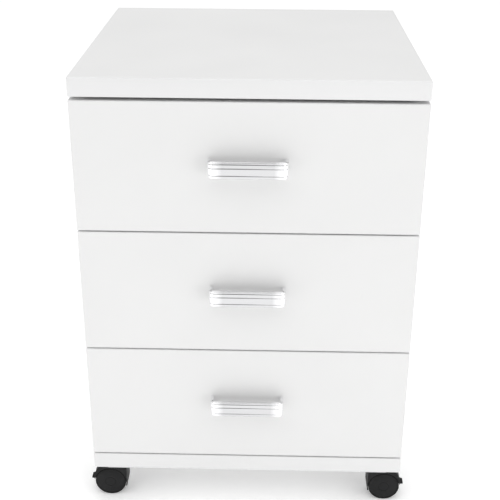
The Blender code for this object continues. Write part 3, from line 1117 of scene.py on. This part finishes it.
@dataclass(frozen=True)
class Slides:
    """The balls and screws of one drawer's pair of slides."""

    name: str
    balls: int = 14
    ball_clearance: float = 0.0001
    screw: Screw = Screw(0.0034, 0.0014)
    screws_at: tuple[float, ...] = (0.09, 0.50, 0.88)  # shares of a member's length

    def race(self, hand: str) -> Form:
        """Two rows of balls between the inner and the outer member's flanges, on the carriage.

        Args:
            hand: left or right.

        Returns:
            The balls, each turned from a half circle.
        """
        carriage_low, carriage_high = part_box(f"{self.name}_slide_carriage_{hand}")
        outer_low, outer_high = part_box(f"{self.name}_slide_outer_{hand}")
        inner_low, inner_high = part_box(f"{self.name}_slide_inner_{hand}")
        radius = (outer_high.z - SHEET - inner_high.z) / 2 - self.ball_clearance
        x = (max(outer_low.x, inner_low.x) + min(outer_high.x, inner_high.x)) / 2
        middle, off = (inner_high.z + inner_low.z) / 2, (outer_high.z - SHEET + inner_high.z) / 2
        half_circle = arc((0.0, 0.0), (radius, radius), -90, 90, 5)
        pitch = (carriage_high.y - carriage_low.y) / self.balls
        form = Form()
        for row in (off, 2 * middle - off):
            for count in range(self.balls):
                y = carriage_low.y + pitch * (count + 0.5)
                form.stack(turned(half_circle, Axis.Y, (x, y, row), 8))
        return form

    def screws(self, member: str, towards_middle: bool) -> Form:
        """Screw heads on the web of one kind of member, on both sides of the drawer.

        Args:
            member: outer or inner.
            towards_middle: Whether the heads point to the cabinet's middle.

        Returns:
            The heads.
        """
        form = Form()
        for hand, sign in HANDS.items():
            low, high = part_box(f"{self.name}_slide_{member}_{hand}")
            towards = -sign if towards_middle else sign
            seat = (high.x if towards < 0 else low.x) + towards * SHEET
            for share in self.screws_at:
                at = (seat, low.y + share * (high.y - low.y), (low.z + high.z) / 2)
                form.stack(self.screw.head(at, Axis.X, towards))
        return form

    def build(self, bench: Bench) -> None:
        """Makes the balls on the carriages, and the screws in the outer and inner members.

        Args:
            bench: Where they are made.
        """
        name, zinc = self.name, [bench.palette.zinc]
        for hand in HANDS:
            bench.piece(f"{name}_balls_{hand}", self.race(hand), zinc, f"{name}_carriages", Slot.ZINC)
        outer, inner = self.screws("outer", True), self.screws("inner", False)
        bench.piece(f"{name}_outer_slide_screws", outer, zinc, "cabinet", Slot.ZINC)
        bench.piece(f"{name}_inner_slide_screws", inner, zinc, f"{name}_drawer", Slot.ZINC)


@dataclass(frozen=True)
class Measured:
    """What a caster takes from the frame: its kingpin and side, and its main sizes about the axle."""

    kingpin: tuple[float, float]
    outboard: int
    trail: float
    radius: float
    width: float
    spread: float
    half_width: float
    inboard: float
    outboard_reach: float
    top: float
    skirt: float


@dataclass(frozen=True)
class Wheel:
    """A caster's wheel: a dished disc with a flush hub cap, and a tread round its rim.

    Depths are from the side that faces the web.
    """

    bore: float = 0.0024
    bore_depth: float = 0.8  # share of the width
    hub: float = 0.0056
    rim: float = 0.0026  # thickness under the tread
    dish: float = 0.0016  # depth
    dish_slopes: tuple[float, float] = (0.0006, 0.0004)  # at the hub and at the rim
    arris: float = 0.0004
    face_in: float = 0.0001  # from the width's end
    cap: float = 0.0067  # radius of the groove round the hub cap
    cap_groove: tuple[float, float] = (0.0003, 0.0004)  # half width and depth
    cap_flat: float = 0.0030
    tread_thick: float = 0.0022
    shoulder: float = 0.0015
    segments: int = 96

    def turn(self, size: Measured, side: int, profile: Sequence[Sequence[float]]) -> Form:
        """A profile turned about the axle.

        Args:
            size: The caster's measures.
            side: -1 or 1, the side of the web along Y.
            profile: Rows of radius and depth.

        Returns:
            The surface.
        """
        rows = np.array(profile)
        rows[:, 1] = side * (size.spread + rows[:, 1])
        return Form().stack(turned(rows, Axis.Y, (size.trail, 0, size.radius), self.segments))

    def disc(self, size: Measured, side: int) -> Form:
        """The disc: a hub, a thin dished wall, a rim that holds the tread, and the hub cap.

        Args:
            size: The caster's measures.
            side: -1 or 1, the side of the web along Y.

        Returns:
            The surface.
        """
        outer, width = size.radius - self.tread_thick, size.width
        wall, face = outer - self.rim, width - self.face_in
        groove, depth = self.cap_groove
        return self.turn(size, side, [
            (0.0, self.bore_depth * width), (self.bore, self.bore_depth * width),
            (self.bore, 0.0), (self.hub, 0.0),
            (self.hub + self.dish_slopes[0], self.dish), (wall - self.dish_slopes[1], self.dish), (wall, 0.0),
            (outer, 0.0), (outer, width - self.arris), (outer - self.arris, width - self.arris / 2),
            (self.cap + groove, face), (self.cap, width - depth), (self.cap - groove, face),
            (self.cap_flat, width), (0.0, width),
        ])

    def tread(self, size: Measured, side: int) -> Form:
        """The tread: a ring with rounded shoulders round the disc.

        Args:
            size: The caster's measures.
            side: -1 or 1, the side of the web along Y.

        Returns:
            The surface.
        """
        width, bore, spot = size.width, size.radius - self.tread_thick, size.radius - self.shoulder
        round_off = (self.shoulder, self.shoulder)
        return self.turn(size, side, [
            (bore, width / 2), (bore, 0.0),
            *arc((spot, self.shoulder), round_off, -90, 0, 6),
            *arc((spot, width - self.shoulder), round_off, 0, 90, 6),
            (bore, width), (bore, width / 2),
        ])


@dataclass(frozen=True)
class Lever:
    """A brake lever: two cheeks beside the web, and a flat pedal with grip ridges.

    Its heights are above the floor, and its other places are from the axle.
    """

    pivot: tuple[float, float] = (0.0100, 0.0270)
    pivot_radius: float = 0.0016
    cheeks: tuple[float, float] = (0.0034, 0.0052)  # their inner and outer faces, from the middle
    cheek_fillet: float = 0.0004
    boss: float = 0.0034
    boss_turn: tuple[float, float] = (60, 240)  # degrees round the pivot
    arm: tuple[tuple[float, float], ...] = ((0.0195, 0.0184), (0.0205, 0.0226))
    pedal: tuple[tuple[float, float], ...] = (
        (0.0168, 0.0194), (0.0196, 0.0184), (0.0265, 0.0184), (0.0265, 0.0206), (0.0205, 0.0222)
    )
    pedal_fillet: float = 0.0006
    ridges: int = 3
    ridge: tuple[float, float, float] = (0.0222, 0.0014, 0.0007)  # first place, pitch and width
    ridge_heights: tuple[float, float] = (0.0200, 0.0210)
    ridge_in: float = 0.0008  # from the pedal's sides
    ridge_round: float = 0.0003

    def form(self, trail: float) -> Form:
        """The lever's surface, about the kingpin.

        Args:
            trail: How far the axle lies from the kingpin.

        Returns:
            The surface.
        """
        shift = np.array((trail, 0.0))
        inner, outer = self.cheeks
        boss = arc(self.pivot, (self.boss, self.boss), *self.boss_turn, 20)
        cheek = np.concatenate([boss, self.arm]) + shift
        form = Form()
        for low, high in ((-outer, -inner), (inner, outer)):
            form.stack(prism(cheek, low, high, self.cheek_fillet))
        form.stack(prism(np.array(self.pedal) + shift, -outer, outer, self.pedal_fillet))
        first, pitch, width = self.ridge
        low, high = self.ridge_heights
        side = outer - self.ridge_in
        for count in range(self.ridges):
            at = trail + first + pitch * count
            form.stack(block((at, -side, low), (at + width, side, high), self.ridge_round, 2))
        return form


@dataclass(frozen=True)
class Plate:
    """A caster's mounting plate with four screws, the swivel's race below it, and the kingpin."""

    thick: float = 0.002
    corner: float = 0.005
    edge: float = 0.0004
    race: tuple[tuple[float, float], ...] = (  # radii, and heights from the plate's lower face
        (0.0, -0.0009), (0.0076, -0.0009), (0.0086, -0.0006), (0.0090, 0.0004), (0.0, 0.0004)
    )
    kingpin: float = 0.0032  # radius
    screw_in: float = 0.0045  # from the plate's sides
    screw: Screw = Screw(0.0030, 0.0003)

    def form(self, node: str) -> Form:
        """The plate's surface in the place of a node of the frame.

        Args:
            node: The frame's node.

        Returns:
            The surface.
        """
        low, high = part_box(node)
        bottom = high.z - self.thick
        middle = ((low.x + high.x) / 2, (low.y + high.y) / 2, 0.0)
        rows = rims(0.0, self.thick, self.edge)
        form = Form()
        form.stack(slab((low.x, low.y, bottom), (high.x, high.y, high.z), self.corner, rows, Axis.Z, 8))
        form.stack(turned(np.array(self.race) + (0.0, bottom), Axis.Z, middle, 48))
        tip = [(0.0, low.z), (self.kingpin - self.edge, low.z), (self.kingpin, low.z + self.edge)]
        form.stack(turned([*tip, (self.kingpin, bottom), (0.0, bottom)], Axis.Z, middle, 32))
        for x in (low.x + self.screw_in, high.x - self.screw_in):
            for y in (low.y + self.screw_in, high.y - self.screw_in):
                form.stack(self.screw.head((x, y, bottom), Axis.Z, -1))
        return form


@dataclass(frozen=True)
class Caster:
    """A hooded twin-wheel caster. Its shapes are made about the kingpin, with the axle outboard at +X.

    Heights are above the floor, and the hood's other places are from the axle.
    """

    corner: str
    wheel: Wheel = Wheel()
    lever: Lever = Lever()
    plate: Plate = Plate()
    well_gap: float = 0.0006  # between a wheel and its well
    hood_corner: float = 0.0025
    hood_fillet: float = 0.0003
    skirt_outboard: float = 0.0240
    shoulder_start: float = 0.008
    web_half: float = 0.003
    web_in_wall: float = 0.0004
    web_fillet: float = 0.0004
    web_ends: tuple[float, float] = (14, 197)  # degrees round the axle
    web_foot: tuple[tuple[float, float], ...] = ((0.0, 0.0140), (0.0050, 0.0148))
    web_notch: tuple[tuple[float, float], ...] = ((0.0142, 0.0225), (0.0142, 0.0276), (0.0160, 0.0276))
    housing: tuple[float, float, float] = (0.005, 0.015, 0.044)  # half width, bottom and top
    housing_round: float = 0.0016
    axle_radius: float = 0.0022
    axle_reach: float = 0.45  # into a wheel, as a share of its width
    steps: int = 28

    def measure(self, frame: dict[str, Any]) -> Measured:
        """Reads the caster's places and main sizes from the frame.


        Returns:
            The measures.
        """
        turns = {joint["name"]: joint["pos_m"] for joint in frame["joints"] if "pos_m" in joint}
        kingpin = turns[f"{self.corner}_swivel_turn"]
        wheel_low, wheel_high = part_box(f"{self.corner}_wheel_front")
        hood_low, hood_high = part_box(f"{self.corner}_caster_hood")
        outboard = 1 if wheel_low.x + wheel_high.x > 2 * kingpin[0] else -1
        axle = (wheel_low.x + wheel_high.x) / 2
        ends = sorted(outboard * (x - axle) for x in (hood_low.x, hood_high.x))
        return Measured(
            kingpin=(kingpin[0], kingpin[1]),
            outboard=outboard,
            trail=abs(axle - kingpin[0]),
            radius=(wheel_high.z - wheel_low.z) / 2,
            width=wheel_high.y - wheel_low.y,
            spread=kingpin[1] - wheel_high.y,
            half_width=(hood_high.y - hood_low.y) / 2,
            inboard=-ends[0],
            outboard_reach=ends[1],
            top=hood_high.z,
            skirt=hood_low.z,
        )

    def shell_outline(self, size: Measured) -> np.ndarray:
        """The hood's shell about the axle: a flat top, an elliptical shoulder, and the round wheel well.

        Args:
            size: The caster's measures.

        Returns:
            The outline's points.
        """
        well = size.radius + self.well_gap
        shoulder = (size.outboard_reach - self.shoulder_start, size.top - self.skirt_outboard)
        corner = (-size.inboard + self.hood_corner, size.top - self.hood_corner)
        skirts = (self.skirt_outboard, size.skirt)
        first, last = (math.degrees(math.asin((height - size.radius) / well)) for height in skirts)
        return np.concatenate([
            [(-size.inboard, size.skirt)],
            arc(corner, (self.hood_corner,) * 2, 180, 90, 6),
            arc((self.shoulder_start, self.skirt_outboard), shoulder, 90, 0, self.steps),
            arc((0, size.radius), (well, well), first, 180 - last, 2 * self.steps),
        ])

    def web_outline(self, size: Measured, braked: bool) -> np.ndarray:
        """The web between the wheels about the axle, which leaves room for a brake lever.

        Args:
            size: The caster's measures.
            braked: Whether there is a lever.

        Returns:
            The outline's points.
        """
        reach = size.radius + self.well_gap + self.web_in_wall
        outer = arc((0, size.radius), (reach, reach), *self.web_ends, 2 * self.steps)
        return np.concatenate([outer, self.web_foot, self.web_notch] if braked else [outer, self.web_foot])

    def hood(self, size: Measured, braked: bool) -> Form:
        """Shell, web, kingpin housing and pins.

        Args:
            size: The caster's measures.
            braked: Whether there is a brake lever, which needs a pin.

        Returns:
            The surfaces.
        """
        shift = np.array((size.trail, 0.0))
        half, bottom, top = self.housing
        reach = size.spread + self.axle_reach * size.width
        pins = [(self.axle_radius, reach, (size.trail, 0, size.radius))]
        if braked:
            along, height = self.lever.pivot
            pins.append((self.lever.pivot_radius, self.lever.cheeks[1], (size.trail + along, 0, height)))
        shell, web = self.shell_outline(size) + shift, self.web_outline(size, braked) + shift
        form = Form()
        form.stack(prism(shell, -size.half_width, size.half_width, self.hood_fillet))
        form.stack(prism(web, -self.web_half, self.web_half, self.web_fillet))
        form.stack(block((-half, -half, bottom), (half, half, top), self.housing_round))
        for radius, end, centre in pins:
            form.stack(turned([(0, -end), (radius, -end), (radius, end), (0, end)], Axis.Y, centre, 24))
        return form

    def build(self, bench: Bench) -> None:
        """Makes the plate, the hood, the wheels and, where there is one, the brake lever.

        Args:
            bench: Where they are made.
        """
        name, frame, finishes = self.corner, bench.frame, bench.palette
        size = self.measure(frame)
        lever = f"{name}_brake_lever"
        braked = lever in frame["nodes"]
        offset, turn = (*size.kingpin, 0.0), 0.0 if size.outboard > 0 else math.pi
        plate, hood = f"{name}_caster_plate", f"{name}_caster_hood"
        made = self.plate.form(plate)
        bench.piece(f"{name}_swivel_plate", made, [finishes.zinc], "cabinet", Slot.ZINC, [plate])
        made = self.hood(size, braked).moved(offset, turn)
        bench.piece(f"{name}_hood", made, [finishes.nylon], f"{name}_swivel", Slot.NYLON, [hood])
        for side in (-1, 1):
            end = "front" if side * size.outboard < 0 else "rear"
            body, node = f"{name}_{end}_wheel", f"{name}_wheel_{end}"
            disc = self.wheel.disc(size, side).moved(offset, turn)
            tread = self.wheel.tread(size, side).moved(offset, turn)
            bench.piece(f"{body}_disc", disc, [finishes.nylon], body, Slot.NYLON, [node])
            bench.piece(f"{body}_tread", tread, [finishes.tread], body, Slot.NYLON, [node])
        if braked:
            made = self.lever.form(size.trail).moved(offset, turn)
            bench.piece(f"{name}_pedal", made, [finishes.nylon], f"{name}_brake", Slot.NYLON, [lever])


# ----------------------------------------------------------------------------------------------------------
# Studio


@dataclass(frozen=True)
class Lamp:
    """A soft box, as wide and high as its size, that faces the cabinet."""

    name: str
    place: tuple[float, float, float]
    size: tuple[float, float]
    power: float
    aim: tuple[float, float, float] = (0.0, 0.0, 0.3)

    def hang(self) -> None:
        """Hangs the lamp in the scene."""
        light = bpy.data.lights.new(self.name, "AREA")
        light.shape, light.energy = "RECTANGLE", self.power
        light.size, light.size_y = self.size
        lamp = bpy.data.objects.new(self.name, light)
        bpy.context.scene.collection.objects.link(lamp)
        lamp.location = self.place
        lamp.rotation_euler = (Vector(self.aim) - lamp.location).to_track_quat("-Z", "Y").to_euler()


@dataclass(frozen=True)
class Studio:
    """A pale floor, soft light and the camera."""

    eye: tuple[float, float, float] = (0.0240, -1.2211, 0.8462)
    yaw: float = -0.0208
    pitch: float = 0.4332
    roll: float = 0.0060
    lens: float = 69.87
    sensor: float = 36.0
    floor_size: float = 14.0
    floor_colour: Colour = (0.95, 0.95, 0.95)
    floor_glow: float = 0.22
    sky: float = 0.40
    lamps: tuple[Lamp, ...] = (
        Lamp("overhead_softbox", (0.0, 0.0, 4.5), (9.0, 9.0), 290.0),
        Lamp("front_left_softbox", (-3.0, -3.0, 0.5), (2.4, 1.1), 18.0),
        Lamp("front_right_softbox", (3.0, -3.0, 0.5), (2.4, 1.1), 32.0),
    )

    def camera(self) -> None:
        """The camera: yawed from +Y, pitched down and rolled about its own axis."""
        lens = bpy.data.cameras.new("camera")
        lens.lens, lens.sensor_width = self.lens, self.sensor
        lens.clip_start, lens.clip_end = 0.02, 60.0
        eye = bpy.data.objects.new("camera", lens)
        bpy.context.scene.collection.objects.link(eye)
        upright = Matrix.Rotation(-self.yaw, 4, "Z") @ Matrix.Rotation(math.pi / 2 - self.pitch, 4, "X")
        eye.matrix_world = Matrix.Translation(self.eye) @ upright @ Matrix.Rotation(self.roll, 4, "Z")
        bpy.context.scene.camera = eye

    def floor(self) -> None:
        """A plain pale floor under the wheels, lit a little from below as a light table is."""
        half = self.floor_size / 2
        form = Form().stack(block((-half, -half, -0.02), (half, half, 0.0), 0.001, 1))
        floor = bpy.data.objects.new("studio_floor", form.mesh("studio_floor"))
        bpy.context.scene.collection.objects.link(floor)
        graph = Graph("studio_floor")
        colour = (*self.floor_colour, 1.0)
        pale = graph.finish(
            Base_Color=colour, Roughness=0.9, Emission_Color=colour, Emission_Strength=self.floor_glow
        )
        floor.data.materials.append(pale)

    def light(self) -> None:
        """An even sky and the soft boxes."""
        world = bpy.data.worlds.new("studio_sky")
        world.use_nodes = True
        sky = world.node_tree.nodes["Background"]
        sky.inputs["Color"].default_value = (1.0, 1.0, 1.0, 1.0)
        sky.inputs["Strength"].default_value = self.sky
        bpy.context.scene.world = world
        for lamp in self.lamps:
            lamp.hang()

    def build(self) -> None:
        """Makes the studio."""
        self.camera()
        self.floor()
        self.light()
        bpy.context.scene.view_settings.view_transform = "Standard"


def main() -> None:
    """Builds the cabinet's looks around the frame, then the studio."""
    logging.basicConfig(level=logging.INFO, format="%(message)s")
    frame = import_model()
    bench = Bench(frame, Palette.made())
    bench.palette.dress(frame)
    BoardSet().build(bench)
    Carcass().build(bench)
    for name in DRAWERS:
        Drawer(name).build(bench)
        Slides(name).build(bench)
    for end in ("front", "rear"):
        for hand in HANDS:
            Caster(f"{end}_{hand}").build(bench)
    Studio().build()


if __name__ == "__main__":
    main()
